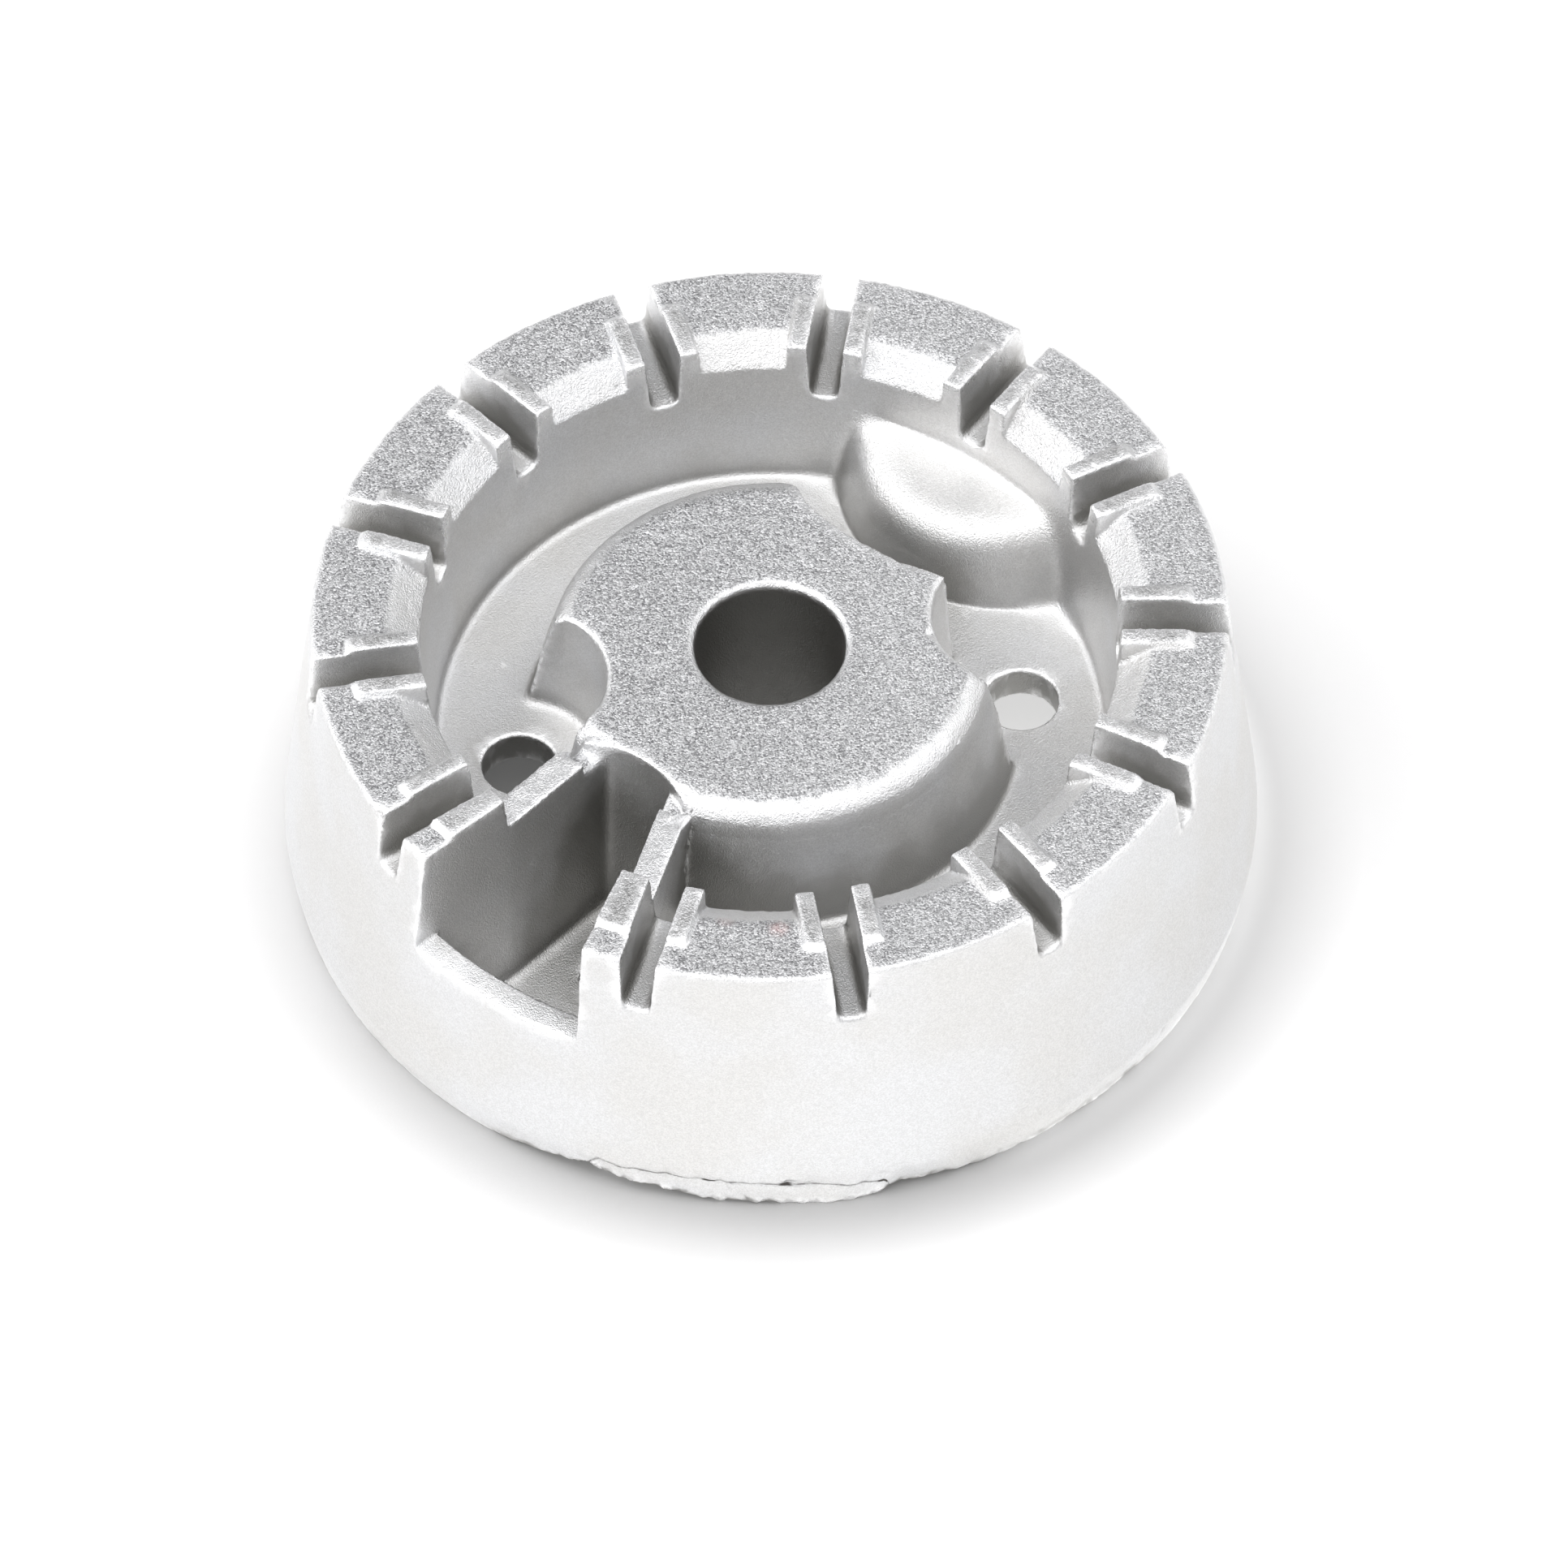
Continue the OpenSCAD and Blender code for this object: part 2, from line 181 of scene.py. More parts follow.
@dataclass
class Foot:
    """The bottom of the skirt: its ragged edge, and the seam above the flash at the front."""

    wall_inner: float = 27.3 * MM
    wall_outer: float = 29.0 * MM
    edge_angles: tuple[float, ...] = (
        -180.0, -138.0, -130.0, -125.0, -121.0, -119.6, -113.4, -105.7, -92.5, -88.0, -85.8, -85.2,
        -81.5, -76.0, -69.0, -56.0, -50.8, -46.0, 180.0)
    edge_heights: tuple[float, ...] = (
        0.0, 0.0, 0.38, 0.85, 1.30, 1.05, 0.72, 0.28, 0.06, 0.12, 0.26, 0.50,
        0.52, 0.34, 0.06, 0.10, 0.36, 0.0, 0.0)
    seam_angles: tuple[float, ...] = (-124.0, -119.4, -108.6, -97.2, -86.0)
    seam_heights: tuple[float, ...] = (1.45, 1.90, 2.08, 1.80, 1.30)
    seam_from: float = -121.0
    seam_to: float = -85.0
    inset: float = 0.85 * MM
    flash_radius: float = 29.36 * MM
    step_height: float = 0.14 * MM
    seam_width: float = 0.12 * MM
    seam_depth: float = 0.09 * MM

    def front(self, angle: np.ndarray) -> np.ndarray:
        """How far toward the ragged side of the ring points lie.

        Args:
            angle: Directions from the axis in degrees.

        Returns:
            1 at the front, 0 behind.
        """
        return 1.0 - smooth_step(np.abs(wrapped(angle + 92.0)), 34.0, 50.0)

    def along_flash(self, angle: np.ndarray) -> np.ndarray:
        """Whether the flash stands in a direction.

        Args:
            angle: Directions from the axis in degrees.

        Returns:
            1 along the flash, 0 beside it.
        """
        return smooth_step(angle, -122.0, -119.0) * (1.0 - smooth_step(angle, -87.0, -84.5))

    def above_seam(self, points: np.ndarray) -> np.ndarray:
        """How far points lie above the seam over the flash.

        Args:
            points: Places in metres, one row each.

        Returns:
            Heights over the seam in millimetres, from -1 to 1, and 1 where there is no seam.
        """
        angle = np.degrees(np.arctan2(points[:, 1], points[:, 0]))
        wander = Lattice(15).at(points * np.array([1.0, 1.0, 0.0]), 1.7 * MM) * 0.08
        over = points[:, 2] / MM - np.interp(angle, self.seam_angles, self.seam_heights) - wander
        along = smooth_step(angle, self.seam_from - 2.0, self.seam_from + 1.0)
        along *= 1.0 - smooth_step(angle, self.seam_to - 1.0, self.seam_to + 1.0)
        return np.clip(over, -1.0, 1.0) * along + (1.0 - along)

    def roughen(self, points: np.ndarray) -> np.ndarray:
        """Break the skirt's lower edge and cut the seam.

        Args:
            points: Places in metres, one row each.

        Returns:
            The moved places.
        """
        radius = np.hypot(points[:, 0], points[:, 1])
        height = points[:, 2]
        angle = np.degrees(np.arctan2(points[:, 1], points[:, 0]))
        front = self.front(angle)
        rim = points * np.array([1.0, 1.0, 0.0])
        ragged = 0.13 * Lattice(11).at(rim, 1.6 * MM) + 0.12 * Lattice(12).at(rim, 0.5 * MM)
        lowest = np.interp(angle, self.edge_angles, self.edge_heights) + ragged * (0.1 + 0.9 * front)
        lowest = np.maximum(lowest, 0.05) * MM
        below = 1.0 - smooth_step(height, lowest - self.step_height, lowest)
        across = np.clip((radius - self.wall_inner) / (self.wall_outer - self.wall_inner), 0.0, 1.0)
        outer = smooth_step(radius, self.wall_outer - 1.0 * MM, self.wall_outer)
        flash = (1.0 - smooth_step(height, 1.6 * MM, 2.2 * MM)) * self.along_flash(angle)
        step = np.clip(self.flash_radius - radius, 0.0, 0.4 * MM) * flash * outer
        step -= below * across * self.inset * (0.25 + 0.75 * front)
        near = 1.0 - smooth_step(height, 2.0 * MM, 3.4 * MM)
        lumps = Lattice(13).at(points, 1.2 * MM) * 0.10 + Lattice(14).at(points, 0.45 * MM) * 0.07
        step += (lumps - 0.05) * MM * near * outer * (0.12 + 0.88 * front)
        step -= np.exp(-(self.above_seam(points) * MM / self.seam_width) ** 2) * self.seam_depth * outer
        scale = 1.0 + step / np.maximum(radius, MM)
        return np.column_stack([points[:, 0] * scale, points[:, 1] * scale, height])


@dataclass
class HubRim:
    """The hub's upper edge, rounded more broadly than the solid's and pushed out a little."""

    foot: tuple[float, float] = (14.9, 8.7)
    flank_top: tuple[float, float] = (12.9, 15.95)
    old_centre: tuple[float, float] = (11.606, 15.95)
    old_radius: float = 1.25
    new_centre: tuple[float, float] = (11.42, 15.1)
    new_radius: float = 2.1
    push: float = 0.42
    pocket_angle: float = 220.8

    def shape(self, points: np.ndarray) -> np.ndarray:
        """Round the edge.

        Args:
            points: Places in metres, one row each.

        Returns:
            The moved places.
        """
        radius = np.hypot(points[:, 0], points[:, 1]) / MM
        height = points[:, 2] / MM
        angle = np.degrees(np.arctan2(points[:, 1], points[:, 0]))
        free = smooth_step(np.abs(wrapped(angle - self.pocket_angle)), 15.6, 18.4)
        lean = (self.flank_top[0] - self.foot[0]) / (self.flank_top[1] - self.foot[1])
        flank = self.foot[0] + (height - self.foot[1]) * lean
        away = np.where(
            height < self.old_centre[1], np.abs(radius - flank),
            np.abs(np.hypot(radius - self.old_centre[0], height - self.old_centre[1]) - self.old_radius))
        skin = (1.0 - smooth_step(away, 0.15, 0.4)) * smooth_step(radius, 11.2, 11.8) * free
        moved = radius + skin * self.push * smooth_step(height, self.foot[1] + 0.5, 14.5)
        beside, above = moved - self.new_centre[0], height - self.new_centre[1]
        far = np.hypot(beside, above)
        outside = (beside > 0) & (above > 0) & (far > self.new_radius) & (moved < 15.0)
        pull = np.where(outside, self.new_radius / np.maximum(far, 0.1), 1.0)
        pull = 1.0 + (pull - 1.0) * free
        moved = np.where(outside, self.new_centre[0] + beside * pull, moved)
        level = np.where(outside, self.new_centre[1] + above * pull, height)
        scale = moved / np.maximum(radius, 1e-6)
        return np.column_stack([points[:, 0] * scale, points[:, 1] * scale, level * MM])


@dataclass
class BossFace:
    """The boss's face: its hollow deeper than the solid's, and its rim rounder."""

    centre: tuple[float, float] = (16.55, 16.55)
    radius: float = 7.4
    bottom: float = 12.6
    wall: float = 20.3
    depth: float = 0.40
    rim: tuple[float, float] = (6.0, 8.5)
    rim_drop: float = 0.55

    def shape(self, points: np.ndarray) -> np.ndarray:
        """Deepen the hollow and round the rim.

        Args:
            points: Places in metres, one row each.

        Returns:
            The moved places.
        """
        level, height = points[:, :2] / MM, points[:, 2] / MM
        away = np.linalg.norm(level - np.array(self.centre), axis=1)
        share = np.clip(1.0 - (away / self.radius) ** 2, 0.0, 1.0)
        edge = np.clip((away - self.rim[0]) / (self.rim[1] - self.rim[0]), 0.0, 1.2) ** 2
        drop = self.depth * share + self.rim_drop * edge * smooth_step(away, 10.2, 9.4)
        drop *= smooth_step(height, self.bottom - 0.8, self.bottom + 0.2) * (height < 16.5)
        drop *= smooth_step(np.linalg.norm(level, axis=1), self.wall + 0.4, self.wall - 0.4)
        return np.column_stack([points[:, :2], (height - drop) * MM])


@dataclass
class Pits:
    """Small pits and nicks, each with its place, radius and depth in millimetres."""

    places: tuple[tuple[float, float, float, float, float], ...] = (
        (-25.3, -10.7, 19.1, 0.30, 0.30), (14.1, 9.9, 14.0, 0.22, 0.12), (8.85, 5.3, 17.1, 0.34, 0.30),
        (9.7, -0.8, 17.1, 0.28, 0.22), (-3.6, -29.2, 1.8, 0.40, 0.35), (2.2, -29.25, 1.9, 0.28, 0.22),
        (-14.5, -25.5, 1.9, 0.26, 0.20), (-1.7, -29.3, 1.75, 0.20, 0.25), (20.6, -20.9, 1.6, 0.30, 0.20),
    )

    def shape(self, points: np.ndarray, normals: np.ndarray) -> np.ndarray:
        """Sink the pits.

        Args:
            points: Places in metres, one row each.
            normals: Directions in which they face.

        Returns:
            The moved places.
        """
        moved = points.copy()
        for x, y, z, radius, depth in self.places:
            away = np.linalg.norm(points / MM - np.array([x, y, z]), axis=1)
            near = np.flatnonzero(away < 2.5 * radius)
            sink = depth * np.exp(-(away[near] / radius) ** 2) * MM
            moved[near] -= normals[near] * sink[:, None]
        return moved


@dataclass
class RibEnds:
    """The steep slopes that end the ribs toward the ring's outer side."""

    land: float = 19.2
    rise: float = 0.4
    old_start: float = 24.8
    old_end: float = 25.6
    new_start: float = 25.12
    new_end: float = 25.62

    def shape(self, points: np.ndarray) -> np.ndarray:
        """Make the slopes steeper.

        Args:
            points: Places in metres, one row each.

        Returns:
            The moved places.
        """
        radius = np.hypot(points[:, 0], points[:, 1]) / MM
        above = points[:, 2] / MM - self.land
        old = self.rise * np.clip((self.old_end - radius) / (self.old_end - self.old_start), 0.08, 1.0)
        new = self.rise * np.clip((self.new_end - radius) / (self.new_end - self.new_start), 0.0, 1.0)
        share = np.clip((above - 0.04) / old, 0.0, 1.0)
        here = (radius > self.old_start - 0.4) & (radius < self.old_end + 0.1) & (above > 0.04)
        height = np.where(here, self.land + 0.04 + share * np.maximum(new - 0.04, 0.0), points[:, 2] / MM)
        return np.column_stack([points[:, :2], height * MM])


@dataclass
class Shelter:
    """How closed in places on the casting are, from a map of the highest points around them."""

    cell: float = 0.25 * MM
    half: int = 128
    directions: int = 16
    distances: tuple[float, ...] = (0.8, 1.1, 1.5, 2.1, 3.0, 4.2, 5.8, 8.0)

    def heights(self, points: np.ndarray) -> np.ndarray:
        """Map the highest point of each square cell.

        Args:
            points: Places in metres, close enough to fill the cells.

        Returns:
            Square grid of heights in metres.
        """
        side = 2 * self.half
        cell = np.clip(np.floor(points[:, :2] / self.cell).astype(int) + self.half, 0, side - 1)
        grid = np.zeros((side, side))
        np.maximum.at(grid, (cell[:, 0], cell[:, 1]), points[:, 2])
        return grid

    def at(self, grid: np.ndarray, points: np.ndarray, normals: np.ndarray) -> np.ndarray:
        """How much of the light from the side that a place faces is shut out.

        Args:
            grid: Heights from the map.
            points: Places in metres.
            normals: Directions in which they face.

        Returns:
            0 in the open, 1 where nothing comes in.
        """
        side = 2 * self.half
        total, clear = np.zeros(len(points)), np.zeros(len(points))
        for number in range(self.directions):
            turn = 2.0 * math.pi * number / self.directions
            way = np.array([math.cos(turn), math.sin(turn)])
            share = np.clip(normals[:, :2] @ way + 0.35 * np.clip(normals[:, 2], 0.0, 1.0), 0.0, None)
            steep = np.zeros(len(points))
            for distance in self.distances:
                place = (points[:, :2] + way * distance * MM) / self.cell
                cell = np.clip(np.floor(place).astype(int) + self.half, 0, side - 1)
                rise = grid[cell[:, 0], cell[:, 1]] - points[:, 2]
                steep = np.maximum(steep, rise / (distance * MM))
            total += share
            clear += share / (1.0 + steep * steep)
        return 1.0 - clear / np.maximum(total, 1e-6)


@dataclass
class CastSkin:
    """Unevenness that the die and the blasting leave all over a casting."""

    wave_size: float = 2.4 * MM
    wave_height: float = 0.012 * MM
    grain_size: float = 0.34 * MM
    wall_grain: float = 0.006 * MM
    sand_grain: float = 0.038 * MM
    sand_from: float = 15.2 * MM
    sand_to: float = 16.4 * MM

    def roughen(self, points: np.ndarray, normals: np.ndarray) -> np.ndarray:
        """Push points in and out a little, most on the upper faces and edges.

        Args:
            points: Places in metres, one row each.
            normals: Directions in which they face.

        Returns:
            The moved places.
        """
        sand = smooth_step(points[:, 2], self.sand_from, self.sand_to)
        sand *= smooth_step(normals[:, 2], 0.25, 0.7)
        grain = self.wall_grain + (self.sand_grain - self.wall_grain) * sand
        step = Lattice(21).at(points, self.wave_size) * self.wave_height
        step += Lattice(22).at(points, self.grain_size) * grain
        return points + normals * step[:, None]


@dataclass(frozen=True)
class SoftArea:
    """A stretch of the casting that is rounded by drawing its points toward their neighbours."""

    passes: int

    def weight(self, points: np.ndarray) -> np.ndarray:
        """How much points belong to the stretch.

        Args:
            points: Places in millimetres, one row each.

        Returns:
            1 inside, 0 outside.
        """
        raise NotImplementedError

    def relax(self, points: np.ndarray, ends: np.ndarray) -> np.ndarray:
        """Round the stretch.

        Args:
            points: Places in metres, one row each.
            ends: The two point numbers of each edge of the mesh.

        Returns:
            The moved places.
        """
        weight = self.weight(points / MM)
        part = ends[(weight[ends] > 0.0).any(axis=1)]
        used, local = np.unique(part, return_inverse=True)
        first, second = local.reshape(-1, 2).T
        share = (0.5 * weight[used])[:, None]
        count = np.bincount(first, minlength=len(used)) + np.bincount(second, minlength=len(used))
        place = points[used]
        for _ in range(self.passes):
            mean = np.column_stack([
                np.bincount(first, place[second, axis], len(used))
                + np.bincount(second, place[first, axis], len(used)) for axis in range(3)])
            place = place + share * (mean / count[:, None] - place)
        moved = points.copy()
        moved[used] = place
        return moved


@dataclass(frozen=True)
class SoftLine(SoftArea):
    """A corner along a line of points."""

    path: tuple[tuple[float, float, float], ...]
    reach: float

    def weight(self, points: np.ndarray) -> np.ndarray:
        """How near points are to the line.

        Args:
            points: Places in millimetres, one row each.

        Returns:
            1 on the line, 0 beyond its reach.
        """
        path = np.array(self.path)
        low, high = path.min(axis=0) - self.reach, path.max(axis=0) + self.reach
        inside = np.flatnonzero(((points > low) & (points < high)).all(axis=1))
        away = np.full(len(points), self.reach)
        for start, end in zip(path, path[1:]):
            line, offset = end - start, points[inside] - start
            along = np.clip(offset @ line / (line @ line), 0.0, 1.0)
            distance = np.linalg.norm(offset - along[:, None] * line, axis=1)
            away[inside] = np.minimum(away[inside], distance)
        return 1.0 - smooth_step(away, 0.45 * self.reach, self.reach)


@dataclass(frozen=True)
class SoftDisc(SoftArea):
    """A round patch seen from above, short of the ring's wall."""

    centre: tuple[float, float]
    radius: float
    bottom: float
    wall: float

    def weight(self, points: np.ndarray) -> np.ndarray:
        """How far inside the patch points are.

        Args:
            points: Places in millimetres, one row each.

        Returns:
            1 inside, 0 outside.
        """
        away = np.linalg.norm(points[:, :2] - np.array(self.centre), axis=1)
        from_axis = np.linalg.norm(points[:, :2], axis=1)
        weight = 1.0 - smooth_step(away, self.radius - 0.5, self.radius)
        weight *= smooth_step(points[:, 2], self.bottom, self.bottom + 0.8)
        return weight * (1.0 - smooth_step(from_axis, self.wall - 0.7, self.wall))


def arc_path(centre: tuple[float, float], radius: float, start: float, end: float,
             height: float) -> tuple[tuple[float, float, float], ...]:
    """Points along a level arc.

    Args:
        centre: Its centre in millimetres.
        radius: Its radius.
        start: First angle in degrees.
        end: Last angle in degrees.
        height: Its height.

    Returns:
        Nine points.
    """
    turns = [math.radians(start + (end - start) * step / 8) for step in range(9)]
    return tuple((centre[0] + radius * math.cos(turn), centre[1] + radius * math.sin(turn), height)
                 for turn in turns)


@dataclass
class BurnerBody:
    """The casting, with the solid's own shape and the soft edges of a real one."""

    node: str = "burner_body"
    voxel: float = 0.13 * MM
    smooth_passes: int = 4
    triangles: int = 190000
    foot: Foot = field(default_factory=Foot)
    skin: CastSkin = field(default_factory=CastSkin)
    hub_rim: HubRim = field(default_factory=HubRim)
    rib_ends: RibEnds = field(default_factory=RibEnds)
    dish: BossFace = field(default_factory=BossFace)
    pits: Pits = field(default_factory=Pits)
    shelter: Shelter = field(default_factory=Shelter)
    soft_areas: tuple[SoftArea, ...] = (
        SoftLine(60, ((-10.9, -6.2, 2.6), (-10.9, -6.2, 15.2)), 2.4),
        SoftLine(50, ((-10.9, -6.2, 2.6), (-22.6, -14.3, 2.6)), 1.8),
        SoftLine(170, ((18.97, 7.0, 8.9), (18.98, 8.02, 13.6)), 3.0),
        SoftLine(120, ((7.0, 18.97, 8.9), (8.02, 18.98, 13.6)), 2.4),
        SoftLine(40, arc_path((15.3, 0.0), 5.35, 105.0, 255.0, 17.2), 1.0),
        SoftLine(25, arc_path((-15.3, 0.0), 5.35, -75.0, 75.0, 17.2), 0.8),
        SoftLine(30, arc_path((-15.3, 0.0), 5.1, -75.0, 75.0, 8.7), 1.0),
        SoftLine(30, arc_path((15.3, 0.0), 5.1, 105.0, 255.0, 8.7), 1.0),
        SoftDisc(150, (16.55, 16.55), 9.9, 11.4, 20.2),
    )

    def solid_copy(self) -> bpy.types.Object:
        """Copy the solid and join its points.

        Returns:
            A new object with the solid's closed mesh.
        """
        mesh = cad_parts[self.node].data.copy()
        mesh.materials.clear()
        work = bmesh.new()
        work.from_mesh(mesh)
        bmesh.ops.remove_doubles(work, verts=work.verts, dist=0.001 * MM)
        work.to_mesh(mesh)
        work.free()
        copy = bpy.data.objects.new("casting_work", mesh)
        bpy.context.scene.collection.objects.link(copy)
        return copy

    def applied(self, piece: bpy.types.Object) -> bpy.types.Mesh:
        """Mesh of a piece with its modifiers applied.

        Args:
            piece: Object with modifiers, which is removed afterwards.

        Returns:
            The new mesh.
        """
        graph = bpy.context.evaluated_depsgraph_get()
        mesh = bpy.data.meshes.new_from_object(piece.evaluated_get(graph))
        bpy.data.objects.remove(piece)
        return mesh

    def softened(self) -> bpy.types.Mesh:
        """Turn the solid into an even fine mesh with rounded edges.

        Returns:
            The fine mesh.
        """
        work = self.solid_copy()
        remesh = work.modifiers.new("even", "REMESH")
        remesh.mode = "VOXEL"
        remesh.voxel_size = self.voxel
        smooth = work.modifiers.new("soft", "SMOOTH")
        smooth.factor = 0.5
        smooth.iterations = self.smooth_passes
        return self.applied(work)

    def weathered(self, mesh: bpy.types.Mesh) -> bpy.types.Mesh:
        """Give the fine mesh the casting's uneven skin and its ragged foot.

        Args:
            mesh: Fine mesh, which is changed.

        Returns:
            The same mesh.
        """
        points = self.dish.shape(self.rib_ends.shape(self.hub_rim.shape(mesh_points(mesh))))
        ends = np.zeros(len(mesh.edges) * 2, dtype=np.int64)
        mesh.edges.foreach_get("vertices", ends)
        for area in self.soft_areas:
            points = area.relax(points, ends.reshape(-1, 2))
        mesh.vertices.foreach_set("co", points.ravel())
        mesh.update()
        normals = mesh_normals(mesh)
        points = self.pits.shape(self.skin.roughen(points, normals), normals)
        points = self.foot.roughen(points)
        low, high = cad_box
        points = np.clip(points, np.array(low), np.array(high))
        mesh.vertices.foreach_set("co", points.ravel())
        mesh.update()
        return mesh

    def thinned(self, mesh: bpy.types.Mesh) -> bpy.types.Mesh:
        """Bring the fine mesh down to the wanted number of triangles.

        Args:
            mesh: Fine mesh.

        Returns:
            The lighter mesh.
        """
        work = bpy.data.objects.new("casting_work", mesh)
        bpy.context.scene.collection.objects.link(work)
        fewer = work.modifiers.new("fewer", "DECIMATE")
        fewer.ratio = self.triangles / (2 * len(mesh.polygons))
        fewer.use_collapse_triangulate = True
        return self.applied(work)

    def mark(self, mesh: bpy.types.Mesh, heights: np.ndarray) -> None:
        """Measure edges, hollows, level faces and shelter, and store them at the mesh's points.

        Args:
            mesh: Finished mesh.
            heights: Map of the highest points, made by the shelter.
        """
        points, normals = mesh_points(mesh), mesh_normals(mesh)
        ends = np.zeros(len(mesh.edges) * 2, dtype=np.int64)
        mesh.edges.foreach_get("vertices", ends)
        first, second = ends.reshape(-1, 2).T
        span = points[second] - points[first]
        bend = np.einsum("ij,ij->i", normals[second] - normals[first], span)
        bend /= np.maximum(np.einsum("ij,ij->i", span, span), 1e-12)
        count = np.bincount(first, minlength=len(points)) + np.bincount(second, minlength=len(points))
        total = np.bincount(first, bend, len(points)) + np.bincount(second, bend, len(points))
        curve = total / np.maximum(count, 1) * MM

        def spread(value: np.ndarray, passes: int) -> np.ndarray:
            """Even out a value over neighbouring points."""
            for _ in range(passes):
                around = np.bincount(first, value[second], len(points))
                around += np.bincount(second, value[first], len(points))
                value = 0.5 * value + 0.5 * around / np.maximum(count, 1)
            return value

        values = self.values(points, normals, spread(curve, 4), heights)
        values[Mark.SHELTER] = spread(values[Mark.SHELTER], 8)
        for name, value in values.items():
            layer = mesh.attributes.new(name.value, "FLOAT", "POINT")
            layer.data.foreach_set("value", value.astype(np.float32))

    def values(self, points: np.ndarray, normals: np.ndarray, curve: np.ndarray,
               heights: np.ndarray) -> dict[Mark, np.ndarray]:
        """Work out every mark at the mesh's points.

        Args:
            points: Places in metres, one row each.
            normals: Directions in which they face.
            curve: How sharply the surface bends there, per millimetre.
            heights: Map of the highest points, made by the shelter.

        Returns:
            The marks' values.
        """
        height, facing_up = points[:, 2] / MM, normals[:, 2]
        reach = np.hypot(points[:, 0], points[:, 1]) / MM
        upper = smooth_step(height, 15.5, 16.0)
        lip = smooth_step(height, 10.9, 11.2) * (1.0 - smooth_step(height, 11.7, 12.2))
        lip *= smooth_step(reach, 26.0, 26.6) * smooth_step(facing_up, 0.2, 0.6)
        away = np.hypot(points[:, 0] / MM - 16.55, points[:, 1] / MM - 16.55)
        boss_rim = smooth_step(height, 12.0, 13.2) * (1.0 - smooth_step(height, 15.6, 16.2))
        boss_rim *= (1.0 - smooth_step(away, 9.6, 10.4)) * smooth_step(away, 5.2, 7.6)
        low_wall = smooth_step(height, 16.3, 16.7) * (1.0 - smooth_step(height, 17.0, 17.15))
        low_wall *= smooth_step(reach, 12.6, 13.2) * smooth_step(facing_up, 0.7, 0.9)
        slope = smooth_step(facing_up, 0.62, 0.72) * (1.0 - smooth_step(facing_up, 0.88, 0.95))
        slope *= smooth_step(height, 17.3, 17.6)
        rib_end = slope * smooth_step(reach, 24.9, 25.1) * (1.0 - smooth_step(reach, 25.75, 25.9))
        chamfer = slope * (1.0 - smooth_step(reach, 22.9, 23.3))
        hub_rim = smooth_step(height, 15.0, 15.6) * (1.0 - smooth_step(facing_up, 0.90, 0.98))
        hub_rim *= (1.0 - smooth_step(reach, 13.2, 13.6)) * smooth_step(facing_up, 0.05, 0.35)
        rib_top = smooth_step(height, 19.3, 19.5) * smooth_step(facing_up, 0.9, 0.97)
        sand = upper * smooth_step(facing_up, 0.15, 0.6) * (1.0 - 0.85 * rib_end)
        # The shelter mark drives painted shade in the material; level floors get at most a little of it.
        shelter = self.shelter.at(heights, points, normals)
        floor = smooth_step(facing_up, 0.5, 0.95)
        shelter = shelter * (1.0 - floor) + np.minimum(0.5 * shelter, 0.22) * floor
        bore = (1.0 - smooth_step(reach, 4.75, 4.95)) * (1.0 - smooth_step(height, 16.6, 16.9))
        return {
            Mark.EDGE: smooth_step(curve, 0.28, 1.0),
            Mark.RIB: rib_top,
            Mark.LEVEL: upper * smooth_step(facing_up, 0.86, 0.97),
            Mark.SAND: np.maximum(sand, np.maximum(lip, 0.45 * boss_rim)) * (1.0 - 0.35 * rib_top),
            # Painted highlight mask: places that catch the light, lightened in the material.
            Mark.PAINTED_HIGHLIGHT: np.maximum.reduce([low_wall, 0.1 * lip, rib_end, 0.3 * chamfer, 0.8 * hub_rim]),
            # The bore is painted fully shaded.
            Mark.SHELTER: np.maximum(shelter, bore),
            Mark.SEAM: self.foot.above_seam(points),
        }

    def build(self) -> bpy.types.Object:
        """Make the visible casting.

        Returns:
            The new piece, which replaces the solid.
        """
        fine = self.weathered(self.softened())
        heights = self.shelter.heights(mesh_points(fine))
        mesh = self.thinned(fine)
        mesh.name = "burner_casting"
        mesh.shade_smooth()
        self.mark(mesh, heights)
        mesh.materials.clear()
        mesh.materials.append(CastAluminium().material())
        piece = bpy.data.objects.new("burner_casting", mesh)
        bpy.context.scene.collection.objects.link(piece)
        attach(piece, "root")
        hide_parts(self.node)
        return piece


